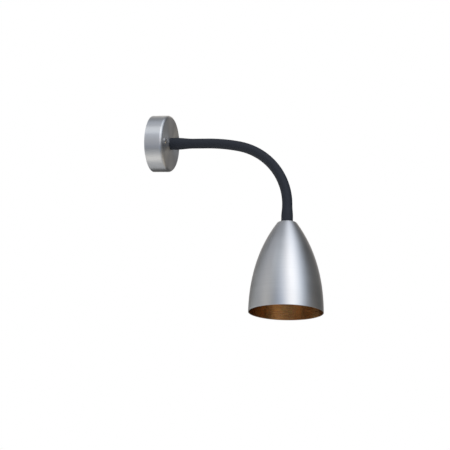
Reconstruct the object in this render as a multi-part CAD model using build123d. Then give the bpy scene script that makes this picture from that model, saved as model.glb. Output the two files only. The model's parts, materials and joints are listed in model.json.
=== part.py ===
from build123d import *
import math
import os

# A gooseneck wall sconce: a turned canopy on the wall, a sleeved gooseneck and a spun shade with a lamp.
# The wall is the plane y = 0, z is up, the arm leaves the wall towards -y, and lengths are millimetres.

# ---------------------------------------------------------------- driving dimensions

# Canopy: a turned cup that stands on the wall and hides the wiring
CANOPY_RADIUS = 35.0
CANOPY_DEPTH = 22.3
CANOPY_WALL = 1.6
CANOPY_EDGE_RADIUS = 3.6

# Wall bracket: a pressed cross behind the canopy
BRACKET_THICKNESS = 2.0
BRACKET_UPRIGHT_LENGTH = 62.0
BRACKET_UPRIGHT_WIDTH = 24.0
BRACKET_CROSSBAR_LENGTH = 57.0
BRACKET_CROSSBAR_WIDTH = 14.0
WALL_SLOT_SPACING = 46.0
WALL_SLOT_LENGTH = 9.0
WALL_SLOT_WIDTH = 4.5

# Canopy screws: two pan heads on a line through the centre that is tilted from the horizontal
CANOPY_SCREW_CIRCLE_RADIUS = 22.9
CANOPY_SCREW_LINE_TILT = 11.7
CANOPY_SCREW_LENGTH = 10.0
SCREW_M4_RADIUS = 2.0
SCREW_M4_HEAD_RADIUS = 4.0
SCREW_M4_HEAD_HEIGHT = 2.6
SCREW_M3_RADIUS = 1.5
SCREW_M3_HEAD_RADIUS = 2.75
SCREW_M3_HEAD_HEIGHT = 1.8
SCREW_END_SINK = 0.4
CROSS_RECESS_WIDTH = 0.9
PILLAR_RADIUS = 4.0
PILLAR_SPIGOT_RADIUS = 2.8

# Cable entry: a rubber grommet in the bracket
GROMMET_BORE_RADIUS = 5.0
GROMMET_BODY_RADIUS = 7.0
GROMMET_FLANGE_RADIUS = 9.0
GROMMET_FLANGE_THICKNESS = 1.2
GROMMET_HEIGHT = 8.0

# Terminal block and its poles
BLOCK_WIDTH = 25.0
BLOCK_HEIGHT = 14.0
BLOCK_DEPTH = 12.0
BLOCK_CENTRE_HEIGHT = -10.5
POLE_COUNT = 3
POLE_PITCH = 8.0
POLE_DEPTH = 6.0
INSERT_RADIUS = 2.2
INSERT_BORE_RADIUS = 1.4
INSERT_LENGTH = 12.0
POLE_SCREW_RADIUS = 1.3
POLE_SCREW_OFFSET = 3.4
POLE_SCREW_SINK = 1.2
POLE_WELL_RADIUS = 1.7
POLE_SCREW_SLOT_WIDTH = 0.5
POLE_SCREW_SLOT_DEPTH = 0.8
BLOCK_CORNER_RADIUS = 1.0

# Wires: how far the supply wires drop out of the nipple and rise over the block before they turn
WIRE_RADIUS = 0.8
WIRE_CLEARANCE = 0.3
WIRE_DROP = 3.5
WIRE_CREST = 6.5
WIRE_BEND_RADIUS = 2.2
EARTH_WIRE_KNEE = 3.0
EARTH_WIRE_BEND_RADIUS = 1.6

# Earth screw and ring tag on the crossbar
EARTH_SCREW_DISTANCE = 12.8
EARTH_TAG_RADIUS = 4.0
EARTH_TAG_THICKNESS = 0.8
EARTH_BARREL_RADIUS = 1.5
EARTH_BARREL_LENGTH = 4.5
EARTH_BARREL_START = 4.6
EARTH_NECK_LENGTH = 3.0
EARTH_TAB_WIDTH = 4.0
EARTH_TAB_LENGTH = 5.5

# Hollow threaded nipples, their nuts and washers
NIPPLE_RADIUS = 5.0
NIPPLE_BORE_RADIUS = 2.8
NUT_ACROSS_FLATS = 14.0
NUT_THICKNESS = 3.0
WASHER_RADIUS = 8.8
WASHER_THICKNESS = 1.0
WALL_NIPPLE_SPARE = 1.4
BUSH_FLANGE_RADIUS = 4.5
BUSH_FLANGE_THICKNESS = 0.8
BUSH_LENGTH = 3.0
BUSH_WALL = 0.5

# Ferrules that end the gooseneck, hidden under the sleeve
FERRULE_FLOOR = 2.0
WALL_FERRULE_RADIUS = 6.5
WALL_FERRULE_STRAIGHT = 12.5
WALL_FERRULE_LENGTH = 21.0
SHADE_FERRULE_RADIUS = 6.05
SHADE_FERRULE_STRAIGHT = 8.0
SHADE_FERRULE_LENGTH = 20.0
FERRULE_MOUTH_RADIUS = 5.6

# Gooseneck centreline: a straight run, three tangent arcs turning down and a straight run
WALL_RUN = 47.5
ARC_RADII = (210.0, 82.5, 78.0)
ARC_TURNS = (11.2, 65.0, 10.0)
SHADE_RUN = 22.0

# Gooseneck coil and its sleeve
COIL_RADIUS = 5.0
COIL_BORE_RADIUS = 2.8
TILT_CLEARANCE = 0.3
SLEEVE_WALL = 0.8
SLEEVE_TAPER_OVERRUN = 1.5
FIRST_PIVOT = 25.0
LAST_PIVOT_FROM_END = 22.0
PIVOT_COUNT = 12

# Shade: a thin spun ogive
SHADE_HEIGHT = 107.5
SHADE_MOUTH_RADIUS = 43.3
SHADE_NECK_RADIUS = 11.3
SHADE_TIGHTENING = 0.19
SHADE_WALL = 1.0
SHADE_TOP_EDGE_RADIUS = 2.5
SHADE_CURVE_STATIONS = 7

# Lampholder and its strap
STRAP_THICKNESS = 1.0
STRAP_HALF_SPAN = 11.5
STRAP_WIDTH = 11.0
STRAP_LEG_LENGTH = 15.8
HOLDER_RADIUS = 13.5
HOLDER_HEIGHT = 16.0
HOLDER_FLAT_HEIGHT = 9.0
HOLDER_LIP = 2.0
HOLDER_CAVITY_DEPTH = 8.0
HOLDER_CAVITY_RADIUS = 8.4
HOLDER_POST_RADIUS = 1.9
HOLDER_GAP_ABOVE = 9.6
HOLDER_SCREW_DEPTH = 3.2
HOLDER_SCREW_LENGTH = 5.0
HOLDER_WIRE_OFFSET = 6.0
HOLDER_WIRE_DEPTH = 2.5
HOLDER_WIRE_DROP = 1.6
HOLDER_WIRE_RISE = 2.4
HOLDER_WIRE_BEND_RADIUS = 1.4
SHADE_NIPPLE_SPARE = 1.6

# Lamp with two twist-lock pins
PIN_CIRCLE_RADIUS = 5.0
PIN_NECK_RADIUS = 1.5
PIN_HEAD_RADIUS = 2.5
PIN_HEAD_LENGTH = 4.6
LOCK_TURN = 25.0
SLOT_CLEARANCE = 0.3
KEYHOLE_CLEARANCE = 0.4
CONTACT_THICKNESS = 0.7
CONTACT_WIDTH = 3.0
CONTACT_LENGTH = 9.0
CONTACT_LEAD = 1.0
LAMP_GAP = 0.5
LAMP_BASE_LENGTH = 11.5
LAMP_BASE_TOP_RADIUS = 9.0
LAMP_BASE_BOTTOM_RADIUS = 11.5
LAMP_LENGTH = 47.0
LAMP_RADIUS = 25.0
LAMP_SHOULDER_RADIUS = 13.5
LAMP_RIM_LENGTH = 7.0
LAMP_RIM_WIDTH = 1.4
LAMP_LENS_THICKNESS = 1.6
LAMP_LENS_SINK = 0.5

# Clearance between pieces of one body that slide together at assembly, and on threads
ASSEMBLY_CLEARANCE = 0.05
HOLE_CLEARANCE = 0.2

# Two places on the arm that differ by less than this are one place
SAME_PLACE = 1e-6

# ---------------------------------------------------------------- places that follow from them

CANOPY_INSIDE = CANOPY_DEPTH - CANOPY_WALL
SLEEVE_INNER_RADIUS = COIL_RADIUS + TILT_CLEARANCE
SLEEVE_OUTER_RADIUS = SLEEVE_INNER_RADIUS + SLEEVE_WALL
STRAP_TOP = SHADE_WALL + WASHER_THICKNESS + NUT_THICKNESS + HOLE_CLEARANCE
SHADE_NIPPLE_LENGTH = STRAP_TOP + STRAP_THICKNESS + SHADE_NIPPLE_SPARE
HOLDER_TOP = STRAP_TOP + STRAP_THICKNESS + HOLDER_GAP_ABOVE
HOLDER_BOTTOM = HOLDER_TOP + HOLDER_HEIGHT
CAVITY_TOP = HOLDER_BOTTOM - HOLDER_LIP - HOLDER_CAVITY_DEPTH
LAMP_TOP = HOLDER_BOTTOM + LAMP_GAP
LAMP_BOTTOM = LAMP_TOP + LAMP_LENGTH
LAMP_LENS_RADIUS = LAMP_RADIUS - LAMP_RIM_WIDTH - HOLE_CLEARANCE
PIN_HEAD_BOTTOM = HOLDER_BOTTOM - HOLDER_LIP - SLOT_CLEARANCE
PIN_TIP = PIN_HEAD_BOTTOM - PIN_HEAD_LENGTH
SCREW_LINE = Rot(0, 0, CANOPY_SCREW_LINE_TILT)


def arm_stretches():
    """The centreline's stretches in order, each as (length, turn in degrees)."""
    arcs = [(math.radians(turn) * radius, turn) for radius, turn in zip(ARC_RADII, ARC_TURNS)]
    return [(WALL_RUN, 0.0)] + arcs + [(SHADE_RUN, 0.0)]


ARM_LENGTH = sum(length for length, _ in arm_stretches())


def arm_state(distance):
    """(y, z, turn in degrees) of the centreline at a distance from the canopy's face."""
    y, z, turn = -CANOPY_DEPTH, 0.0, 0.0
    left = distance
    for length, bend in arm_stretches():
        step = min(left, length)
        turned = bend * step / length
        chord = step
        if turned:
            half = math.radians(turned) / 2
            chord = step * math.sin(half) / half
        heading = math.radians(turn + turned / 2)
        y -= chord * math.cos(heading)
        z -= chord * math.sin(heading)
        turn += turned
        left -= step
        if left <= 0:
            break
    return y, z, turn


def arm_frame(distance):
    """The frame at a distance along the arm: z runs along the arm, x is the object's x, y is the upper side."""
    y, z, turn = arm_state(distance)
    return Location((0, y, z), (90 + turn, 0, 0))


def arm_point(distance):
    y, z, _ = arm_state(distance)
    return Vector(0, y, z)


# On the wall side z is the depth from the wall; on the shade side z is the depth below the shade's top.
WALL_FRAME = Location((0, 0, 0), (90, 0, 0))
ARM_START = arm_frame(0)
SHADE_FRAME = arm_frame(ARM_LENGTH)


def pivot_distances():
    """Where the gooseneck's sections tilt on each other, evenly spaced between the ferrules."""
    last = ARM_LENGTH - LAST_PIVOT_FROM_END
    step = (last - FIRST_PIVOT) / (PIVOT_COUNT - 1)
    return [FIRST_PIVOT + step * i for i in range(PIVOT_COUNT)]


# ---------------------------------------------------------------- helpers


def turned(points):
    """A solid turned about z from a closed outline of (radius, z) points."""
    return revolve(Plane.XZ * make_face(Polyline(*points, close=True)), Axis.Z)


def ring(outer, inner, bottom, top):
    """A round ring or tube between two heights."""
    return turned([(inner, bottom), (outer, bottom), (outer, top), (inner, top)])


def disc(radius, bottom, top):
    return Pos(0, 0, bottom) * Cylinder(radius, top - bottom, align=(Align.CENTER, Align.CENTER, Align.MIN))


def block(width, height, bottom, top):
    """A box centred on z, between two heights."""
    return Pos(0, 0, bottom) * Box(width, height, top - bottom, align=(Align.CENTER, Align.CENTER, Align.MIN))


def pan_head_screw(radius, head_radius, head_height, length):
    """A screw along z: the shank runs from -length to 0, and the domed head with its cross recess stands on 0."""
    with BuildPart() as screw:
        with BuildSketch(Plane.XZ):
            with BuildLine():
                Polyline((0, -length), (radius, -length), (radius, 0), (head_radius, 0))
                rim = Line((head_radius, 0), (head_radius, head_height * 0.4))
                ThreePointArc(rim @ 1, (head_radius * 0.68, head_height * 0.86), (0, head_height))
                Line((0, head_height), (0, -length))
            make_face()
        revolve(axis=Axis.Z)
    arm = head_radius * 1.1
    recess = block(arm, CROSS_RECESS_WIDTH, head_height * 0.35, head_height + 1)
    return screw.part - recess - Rot(0, 0, 90) * recess


def hex_nut(bottom):
    """A thin nut for the hollow nipple, standing on a height."""
    outline = RegularPolygon(NUT_ACROSS_FLATS / 2, 6, major_radius=False)
    blank = Pos(0, 0, bottom) * extrude(outline, NUT_THICKNESS)
    return blank - disc(NIPPLE_RADIUS + ASSEMBLY_CLEARANCE, bottom - 1, bottom + NUT_THICKNESS + 1)


def wire(points, radius):
    """An insulated wire along straight runs that are joined by arcs."""
    path = FilletPolyline(*points, radius=radius)
    start = Vector(*points[0])
    direction = Vector(*points[1]) - start
    return sweep(Plane(start, z_dir=direction) * Circle(WIRE_RADIUS), path=path)


PIECES = {}


def piece(name, place, *solids):
    """Puts one sub-part's solids in their place, under the sub-part's name."""
    PIECES[name] = [place * solid for shape in solids for solid in shape.solids()]


# ---------------------------------------------------------------- wall side


def slot_hole(height):
    outline = SlotOverall(WALL_SLOT_LENGTH, WALL_SLOT_WIDTH, rotation=90)
    return Pos(0, height, 0) * extrude(outline, BRACKET_THICKNESS)


def make_bracket():
    upright = SlotOverall(BRACKET_UPRIGHT_LENGTH, BRACKET_UPRIGHT_WIDTH, rotation=90)
    crossbar = SlotOverall(BRACKET_CROSSBAR_LENGTH, BRACKET_CROSSBAR_WIDTH, rotation=CANOPY_SCREW_LINE_TILT)
    plate = extrude(upright + crossbar, BRACKET_THICKNESS)
    plate -= slot_hole(WALL_SLOT_SPACING / 2)
    plate -= slot_hole(-WALL_SLOT_SPACING / 2)
    plate -= Pos(0, GROMMET_HEIGHT, 0) * disc(GROMMET_BODY_RADIUS + ASSEMBLY_CLEARANCE, 0, BRACKET_THICKNESS)
    for spot in screw_spots():
        plate -= spot * disc(PILLAR_SPIGOT_RADIUS + ASSEMBLY_CLEARANCE, 0, BRACKET_THICKNESS)
    plate -= earth_spot() * disc(SCREW_M4_RADIUS + ASSEMBLY_CLEARANCE, 0, BRACKET_THICKNESS)
    for spot in block_screw_spots():
        plate -= spot * disc(SCREW_M3_RADIUS + ASSEMBLY_CLEARANCE, 0, BRACKET_THICKNESS)
    return plate


def screw_spots():
    """The two places of the canopy screws and of the pillars behind them."""
    return [SCREW_LINE * Pos(side * CANOPY_SCREW_CIRCLE_RADIUS, 0, 0) for side in (-1, 1)]


def earth_spot():
    return SCREW_LINE * Pos(EARTH_SCREW_DISTANCE, 0, 0)


def block_screw_spots():
    return [Pos(side * POLE_PITCH / 2, BLOCK_CENTRE_HEIGHT, 0) for side in (-1, 1)]


def make_pillar():
    """A threaded pillar riveted in the bracket, which the canopy rests on and is screwed to."""
    bore = SCREW_M4_RADIUS + ASSEMBLY_CLEARANCE
    post = ring(PILLAR_RADIUS, bore, BRACKET_THICKNESS, CANOPY_INSIDE)
    return post + ring(PILLAR_SPIGOT_RADIUS, bore, 0, BRACKET_THICKNESS)


def make_canopy():
    cup = disc(CANOPY_RADIUS, 0, CANOPY_DEPTH)
    cup = fillet(cup.edges().group_by(Axis.Z)[-1], CANOPY_EDGE_RADIUS)
    hollow = disc(CANOPY_RADIUS - CANOPY_WALL, 0, CANOPY_INSIDE)
    hollow = fillet(hollow.edges().group_by(Axis.Z)[-1], CANOPY_EDGE_RADIUS - CANOPY_WALL)
    cup -= hollow
    cup -= disc(NIPPLE_RADIUS + HOLE_CLEARANCE, CANOPY_INSIDE - 1, CANOPY_DEPTH + 1)
    for spot in screw_spots():
        cup -= spot * disc(SCREW_M4_RADIUS + HOLE_CLEARANCE, CANOPY_INSIDE - 1, CANOPY_DEPTH + 1)
    return cup


def make_grommet():
    """A rubber bush with one flange, flush with the bracket's back."""
    body = GROMMET_BODY_RADIUS
    top = BRACKET_THICKNESS + GROMMET_FLANGE_THICKNESS
    return turned([
        (GROMMET_BORE_RADIUS, 0), (body, 0), (body, BRACKET_THICKNESS),
        (GROMMET_FLANGE_RADIUS, BRACKET_THICKNESS), (GROMMET_FLANGE_RADIUS, top), (GROMMET_BORE_RADIUS, top),
    ])


def pole_places():
    """The terminal block's poles, each a frame whose z runs through the pole from its lower to its upper mouth."""
    middle = (POLE_COUNT - 1) / 2
    depth = BRACKET_THICKNESS + POLE_DEPTH
    return [Pos((i - middle) * POLE_PITCH, BLOCK_CENTRE_HEIGHT, depth) * Rot(-90, 0, 0) for i in range(POLE_COUNT)]


def pole_screw_places():
    """The clamping screws, two on each pole, each a frame at the pole's axis with z towards the room."""
    return [
        Pos(0, side * POLE_SCREW_OFFSET, 0) * Pos(*pole.position)
        for pole in pole_places()
        for side in (-1, 1)
    ]


def make_terminal_block():
    top = BRACKET_THICKNESS + BLOCK_DEPTH
    body = Pos(0, BLOCK_CENTRE_HEIGHT, 0) * block(BLOCK_WIDTH, BLOCK_HEIGHT, BRACKET_THICKNESS, top)
    body = fillet(body.edges().filter_by(Axis.Z), BLOCK_CORNER_RADIUS)
    for pole in pole_places():
        bore = INSERT_RADIUS + ASSEMBLY_CLEARANCE
        body -= pole * disc(bore, -BLOCK_HEIGHT, BLOCK_HEIGHT)
    for place in pole_screw_places():
        body -= place * disc(POLE_WELL_RADIUS, 0, BLOCK_DEPTH)
    for spot in block_screw_spots():
        body -= spot * disc(SCREW_M3_RADIUS + HOLE_CLEARANCE, BRACKET_THICKNESS, top)
    return body


def make_pole_insert():
    """A brass tube with two tapped holes, which clamps a wire at each end."""
    insert = ring(INSERT_RADIUS, INSERT_BORE_RADIUS, -INSERT_LENGTH / 2, INSERT_LENGTH / 2)
    for side in (-1, 1):
        hole = Rot(90, 0, 0) * disc(POLE_SCREW_RADIUS + ASSEMBLY_CLEARANCE, 0, INSERT_RADIUS + 1)
        insert -= Pos(0, 0, side * POLE_SCREW_OFFSET) * hole
    return insert


def make_pole_screw():
    """A slotted grub screw down to the clamped wire."""
    top = BLOCK_DEPTH - POLE_DEPTH - POLE_SCREW_SINK
    screw = disc(POLE_SCREW_RADIUS, WIRE_RADIUS + ASSEMBLY_CLEARANCE, top)
    return screw - block(POLE_SCREW_RADIUS * 3, POLE_SCREW_SLOT_WIDTH, top - POLE_SCREW_SLOT_DEPTH, top + 1)


def make_earth_tag():
    """A ring tag with its crimp barrel pointing up."""
    low, high = BRACKET_THICKNESS, BRACKET_THICKNESS + EARTH_TAG_THICKNESS
    tag = ring(EARTH_TAG_RADIUS, SCREW_M4_RADIUS + HOLE_CLEARANCE, low, high)
    neck = Pos(0, EARTH_TAG_RADIUS, 0) * block(2 * EARTH_BARREL_RADIUS, EARTH_NECK_LENGTH, low, high)
    barrel = ring(EARTH_BARREL_RADIUS, WIRE_RADIUS + ASSEMBLY_CLEARANCE, 0, EARTH_BARREL_LENGTH)
    barrel = Pos(0, EARTH_BARREL_START, low + EARTH_BARREL_RADIUS) * Rot(-90, 0, 0) * barrel
    opening = disc(SCREW_M4_RADIUS + HOLE_CLEARANCE, low, high)
    return tag + (neck - opening) + barrel


def make_earth_washer():
    """The canopy's washer, with a tab for the earth wire."""
    bottom = CANOPY_INSIDE - WASHER_THICKNESS
    washer = ring(WASHER_RADIUS, NIPPLE_RADIUS + HOLE_CLEARANCE, bottom, CANOPY_INSIDE)
    tab = Pos(0, WASHER_RADIUS + EARTH_TAB_LENGTH / 2 - 0.5, 0) * block(
        EARTH_TAB_WIDTH, EARTH_TAB_LENGTH + 1, bottom, CANOPY_INSIDE)
    return washer + tab


def make_ferrule(radius, straight, length, nipple_length):
    """A turned ferrule along z: a hollow nipple below 0, and above it a cup that narrows towards its mouth."""
    inside = COIL_RADIUS + ASSEMBLY_CLEARANCE
    return turned([
        (NIPPLE_BORE_RADIUS, -nipple_length), (NIPPLE_RADIUS, -nipple_length), (NIPPLE_RADIUS, 0),
        (radius, 0), (radius, straight), (FERRULE_MOUTH_RADIUS, length),
        (inside, length), (inside, FERRULE_FLOOR), (NIPPLE_BORE_RADIUS, FERRULE_FLOOR),
    ])


def wall_nipple_end():
    return CANOPY_INSIDE - WASHER_THICKNESS - NUT_THICKNESS - WALL_NIPPLE_SPARE


def make_bush():
    """A plastic bush that lines the nipple's mouth."""
    outer, inner = NIPPLE_BORE_RADIUS - ASSEMBLY_CLEARANCE, NIPPLE_BORE_RADIUS - ASSEMBLY_CLEARANCE - BUSH_WALL
    end = wall_nipple_end()
    return turned([
        (inner, end - BUSH_FLANGE_THICKNESS), (BUSH_FLANGE_RADIUS, end - BUSH_FLANGE_THICKNESS),
        (BUSH_FLANGE_RADIUS, end), (outer, end), (outer, end + BUSH_LENGTH), (inner, end + BUSH_LENGTH),
    ])


def make_supply_wire(side):
    """A wire from the nipple's bore, up over the terminal block and down into the pole on one side."""
    pole = Vector(*pole_places()[0 if side < 0 else -1].position)
    bend = wall_nipple_end() - WIRE_DROP
    crest = BLOCK_CENTRE_HEIGHT + BLOCK_HEIGHT / 2 + WIRE_CREST
    end = BLOCK_CENTRE_HEIGHT + POLE_SCREW_OFFSET
    offset = side * (NIPPLE_BORE_RADIUS - BUSH_WALL - WIRE_RADIUS - WIRE_CLEARANCE)
    points = [(offset, 0, CANOPY_DEPTH), (offset, 0, bend), (pole.X, crest, pole.Z), (pole.X, end, pole.Z)]
    return wire(points, WIRE_BEND_RADIUS)


def make_earth_wire():
    """A wire from the washer's tab to the ring tag on the bracket."""
    tab_height = WASHER_RADIUS + EARTH_TAB_LENGTH - 2 * WIRE_RADIUS
    tab_depth = CANOPY_INSIDE - WASHER_THICKNESS
    tag = Vector(*earth_spot().position)
    mouth = tag.Y + EARTH_BARREL_START + EARTH_BARREL_LENGTH
    depth = BRACKET_THICKNESS + EARTH_BARREL_RADIUS
    knee = mouth + EARTH_WIRE_KNEE
    points = [
        (0, tab_height, tab_depth), (0, tab_height, tab_depth - 2 * EARTH_WIRE_KNEE),
        (tag.X * 0.6, knee, depth + EARTH_WIRE_KNEE), (tag.X, knee, depth),
        (tag.X, mouth - EARTH_WIRE_KNEE, depth),
    ]
    return wire(points, EARTH_WIRE_BEND_RADIUS)


def build_wall_side():
    piece("wall_bracket", WALL_FRAME, make_bracket())
    piece("bracket_pillars", WALL_FRAME, *[spot * make_pillar() for spot in screw_spots()])
    piece("canopy", WALL_FRAME, make_canopy())
    canopy_screw = pan_head_screw(SCREW_M4_RADIUS, SCREW_M4_HEAD_RADIUS, SCREW_M4_HEAD_HEIGHT, CANOPY_SCREW_LENGTH)
    seats = [spot * Pos(0, 0, CANOPY_DEPTH) for spot in screw_spots()]
    piece("canopy_screws", WALL_FRAME, *[seat * canopy_screw for seat in seats])
    piece("cable_grommet", WALL_FRAME, Pos(0, GROMMET_HEIGHT, 0) * make_grommet())

    piece("terminal_block", WALL_FRAME, make_terminal_block())
    piece("terminal_inserts", WALL_FRAME, *[pole * make_pole_insert() for pole in pole_places()])
    piece("terminal_screws", WALL_FRAME, *[place * make_pole_screw() for place in pole_screw_places()])
    block_top = BRACKET_THICKNESS + BLOCK_DEPTH
    length = block_top - SCREW_END_SINK
    block_screw = pan_head_screw(SCREW_M3_RADIUS, SCREW_M3_HEAD_RADIUS, SCREW_M3_HEAD_HEIGHT, length)
    piece("block_screws", WALL_FRAME, *[spot * Pos(0, 0, block_top) * block_screw for spot in block_screw_spots()])

    tag_top = BRACKET_THICKNESS + EARTH_TAG_THICKNESS
    length = tag_top - SCREW_END_SINK
    earth_screw = pan_head_screw(SCREW_M4_RADIUS, SCREW_M4_HEAD_RADIUS, SCREW_M4_HEAD_HEIGHT, length)
    piece("earth_screw", WALL_FRAME, earth_spot() * Pos(0, 0, tag_top) * earth_screw)
    piece("earth_tag", WALL_FRAME, Pos(*earth_spot().position) * make_earth_tag())
    piece("earth_washer", WALL_FRAME, make_earth_washer())
    piece("canopy_nut", WALL_FRAME, hex_nut(CANOPY_INSIDE - WASHER_THICKNESS - NUT_THICKNESS))
    piece("nipple_bush", WALL_FRAME, make_bush())
    piece("live_wire", WALL_FRAME, make_supply_wire(1))
    piece("neutral_wire", WALL_FRAME, make_supply_wire(-1))
    piece("earth_wire", WALL_FRAME, make_earth_wire())

    nipple = CANOPY_DEPTH - wall_nipple_end()
    ferrule = make_ferrule(WALL_FERRULE_RADIUS, WALL_FERRULE_STRAIGHT, WALL_FERRULE_LENGTH, nipple)
    piece("wall_ferrule", ARM_START, ferrule)


# ---------------------------------------------------------------- gooseneck


def arm_path(start, end):
    """The centreline between two distances, as tangent lines and arcs."""
    stops, place = [start], 0.0
    for length, _ in arm_stretches():
        place += length
        if start + SAME_PLACE < place < end - SAME_PLACE:
            stops.append(place)
    stops.append(end)
    edges = []
    for low, high in zip(stops, stops[1:]):
        if abs(arm_state(low)[2] - arm_state(high)[2]) < SAME_PLACE:
            edges.append(Edge.make_line(arm_point(low), arm_point(high)))
        else:
            edges.append(Edge.make_three_point_arc(arm_point(low), arm_point((low + high) / 2), arm_point(high)))
    return Wire(edges)


def arm_tube(outer, inner, start, end):
    """A tube along the centreline."""
    section = arm_frame(start) * (Circle(outer) - Circle(inner))
    return sweep(section, path=arm_path(start, end))


def coil_dome():
    """The round end on which the next section of coil tilts, bored for the wires."""
    height = math.sqrt(COIL_RADIUS**2 - COIL_BORE_RADIUS**2)
    middle = math.radians(30)
    with BuildPart() as dome:
        with BuildSketch(Plane.XZ):
            with BuildLine():
                Polyline((COIL_BORE_RADIUS, height), (COIL_BORE_RADIUS, 0), (COIL_RADIUS, 0))
                through = (COIL_RADIUS * math.cos(middle), COIL_RADIUS * math.sin(middle))
                ThreePointArc((COIL_RADIUS, 0), through, (COIL_BORE_RADIUS, height))
            make_face()
        revolve(axis=Axis.Z)
    return dome.part


def coil_section(start, end, cupped, domed):
    """A section of the wound coil. Its cupped end tilts on the dome of the section before it."""
    section = arm_tube(COIL_RADIUS, COIL_BORE_RADIUS, start, end)
    if domed:
        section += arm_frame(end) * coil_dome()
    if cupped:
        section -= arm_frame(start) * Sphere(COIL_RADIUS + TILT_CLEARANCE)
    return section


def end_sleeve(radius, straight, length, plain_end):
    """The sleeve over a ferrule, along z: wide at the ferrule, then down to the plain sleeve."""
    gap = ASSEMBLY_CLEARANCE * 2
    wide = radius + gap
    mouth = max(FERRULE_MOUTH_RADIUS + gap, SLEEVE_INNER_RADIUS)
    narrow = length + SLEEVE_TAPER_OVERRUN
    plain = SLEEVE_INNER_RADIUS
    inside = [(wide, gap), (wide, straight), (mouth, length), (plain, narrow), (plain, plain_end)]
    outside = [(r + SLEEVE_WALL, z) for r, z in inside]
    return turned(inside + outside[::-1])


def build_gooseneck():
    pivots = pivot_distances()
    starts = [FERRULE_FLOOR + ASSEMBLY_CLEARANCE] + pivots
    ends = pivots + [ARM_LENGTH - FERRULE_FLOOR - ASSEMBLY_CLEARANCE]
    for i, (start, end) in enumerate(zip(starts, ends)):
        name = f"coil_section_{i + 1:02d}"
        piece(name, Location(), coil_section(start, end, cupped=i > 0, domed=i < PIVOT_COUNT))

    first = end_sleeve(WALL_FERRULE_RADIUS, WALL_FERRULE_STRAIGHT, WALL_FERRULE_LENGTH, pivots[0])
    piece("sleeve_section_01", ARM_START, first)
    for i, (start, end) in enumerate(zip(pivots, pivots[1:])):
        middle = arm_tube(SLEEVE_OUTER_RADIUS, SLEEVE_INNER_RADIUS, start, end)
        piece(f"sleeve_section_{i + 2:02d}", Location(), middle)
    last = end_sleeve(SHADE_FERRULE_RADIUS, SHADE_FERRULE_STRAIGHT, SHADE_FERRULE_LENGTH, LAST_PIVOT_FROM_END)
    piece(f"sleeve_section_{PIVOT_COUNT + 1:02d}", SHADE_FRAME * Rot(180, 0, 0), last)


# ---------------------------------------------------------------- shade and lampholder


def shade_radius(depth):
    """The shade's outer radius at a depth below its top: an ogive that tightens towards the neck."""
    rise = 1 - depth / SHADE_HEIGHT
    shape = (1 - SHADE_TIGHTENING) * rise**2 + SHADE_TIGHTENING * rise**4
    return SHADE_MOUTH_RADIUS - (SHADE_MOUTH_RADIUS - SHADE_NECK_RADIUS) * shape


def shade_outline(inset):
    """The ogive's curve as (radius, depth) points from the top to the mouth, moved inwards along its normal."""
    points = []
    for i in range(SHADE_CURVE_STATIONS):
        depth = SHADE_HEIGHT * i / (SHADE_CURVE_STATIONS - 1)
        slope = (shade_radius(depth + 0.01) - shade_radius(depth - 0.01)) / 0.02
        steep = math.hypot(1, slope)
        points.append((shade_radius(depth) - inset / steep, depth + inset * slope / steep))
    return points


def shade_blank(inset, top, edge_radius):
    """A solid ogive between a flat top and the mouth, with its top edge rounded."""
    with BuildPart() as blank:
        with BuildSketch(Plane.XZ):
            with BuildLine():
                side = Spline(*shade_outline(inset))
                Polyline(side @ 1, (0, (side @ 1).Y), (0, (side @ 0).Y), side @ 0)
            make_face()
        revolve(axis=Axis.Z)
    body = blank.part & disc(SHADE_MOUTH_RADIUS + SHADE_WALL, top, SHADE_HEIGHT)
    return fillet(body.edges().group_by(Axis.Z)[0], edge_radius)


def make_shade():
    outer = shade_blank(0, 0, SHADE_TOP_EDGE_RADIUS)
    inner = shade_blank(SHADE_WALL, SHADE_WALL, SHADE_TOP_EDGE_RADIUS - SHADE_WALL)
    return outer - inner - disc(NIPPLE_RADIUS + HOLE_CLEARANCE, -1, SHADE_WALL + 1)


def make_strap():
    """A bent strap with a tapped hole for the nipple and two legs beside the lampholder."""
    low, high = STRAP_TOP, STRAP_TOP + STRAP_LEG_LENGTH
    strap = block(2 * STRAP_HALF_SPAN, STRAP_WIDTH, low, high)
    strap -= block(2 * (STRAP_HALF_SPAN - STRAP_THICKNESS), STRAP_WIDTH + 2, low + STRAP_THICKNESS, high + 1)
    strap -= disc(NIPPLE_RADIUS + ASSEMBLY_CLEARANCE, low - 1, low + STRAP_THICKNESS + 1)
    hole = disc(SCREW_M3_RADIUS + HOLE_CLEARANCE, -STRAP_HALF_SPAN - 1, STRAP_HALF_SPAN + 1)
    return strap - Pos(0, 0, HOLDER_TOP + HOLDER_SCREW_DEPTH) * Rot(0, 90, 0) * hole


def keyhole(angle):
    """A curved slot for a pin's neck, with the wide mouth that lets its head through when the lamp is turned."""
    neck = PIN_NECK_RADIUS + SLOT_CLEARANCE
    slot = Rot(0, 0, angle) * Pos(PIN_CIRCLE_RADIUS, 0) * Circle(neck)
    mouth = Rot(0, 0, angle + LOCK_TURN) * Pos(PIN_CIRCLE_RADIUS, 0) * Circle(PIN_HEAD_RADIUS + KEYHOLE_CLEARANCE)
    band = Circle(PIN_CIRCLE_RADIUS + neck) - Circle(PIN_CIRCLE_RADIUS - neck)
    reach = 2 * PIN_CIRCLE_RADIUS
    start, end = math.radians(angle), math.radians(angle + LOCK_TURN)
    wedge = make_face(Polyline(
        (0, 0), (reach * math.cos(start), reach * math.sin(start)),
        (reach * math.cos(end), reach * math.sin(end)), close=True))
    return slot + mouth + (band & wedge)


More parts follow.
